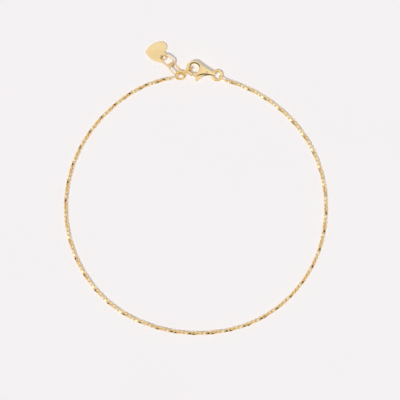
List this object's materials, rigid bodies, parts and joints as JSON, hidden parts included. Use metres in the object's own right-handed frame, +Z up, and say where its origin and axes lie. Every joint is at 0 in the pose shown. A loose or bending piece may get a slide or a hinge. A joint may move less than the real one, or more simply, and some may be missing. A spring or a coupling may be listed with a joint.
{
  "type": "anklet",
  "caption": "Fine gold anklet: a twisted cable chain laid in a loop, closed by a lobster clasp with a sprung lever, with a short link extension ending in a flat heart tag.",
  "frame": {"origin": "on the surface the anklet lies on, under the middle of its bounding box", "axes": "+Z up from the surface, +Y from the loop's middle towards the clasp, +X to the right seen from above"},
  "size_m": [0.081, 0.0904, 0.0029],
  "materials": {
    "chain_gold": "diamond-cut polished yellow gold",
    "ring_gold": "polished yellow gold wire",
    "pale_gold": "softly polished pale yellow gold"
  },
  "bodies": {
    "anklet": {"chain": "chain_gold", "end_ring": "ring_gold", "catch_link": "ring_gold", "clasp_ring": "ring_gold", "extension_link_1": "pale_gold", "extension_link_2": "pale_gold", "heart_tag": "pale_gold", "clasp_body": "pale_gold", "clasp_pin": "pale_gold"},
    "lever": {"clasp_lever": "pale_gold"}
  },
  "joints": [
    {"name": "lever_hinge", "type": "hinge", "parent": "anklet", "child": "lever", "pos_m": [0.00353, 0.03561, 0.0012], "axis": [0, 0, 1], "range_deg": [0, 18], "stiffness_Nm_per_rad": 0.002, "springref_deg": -11.46}
  ]
}
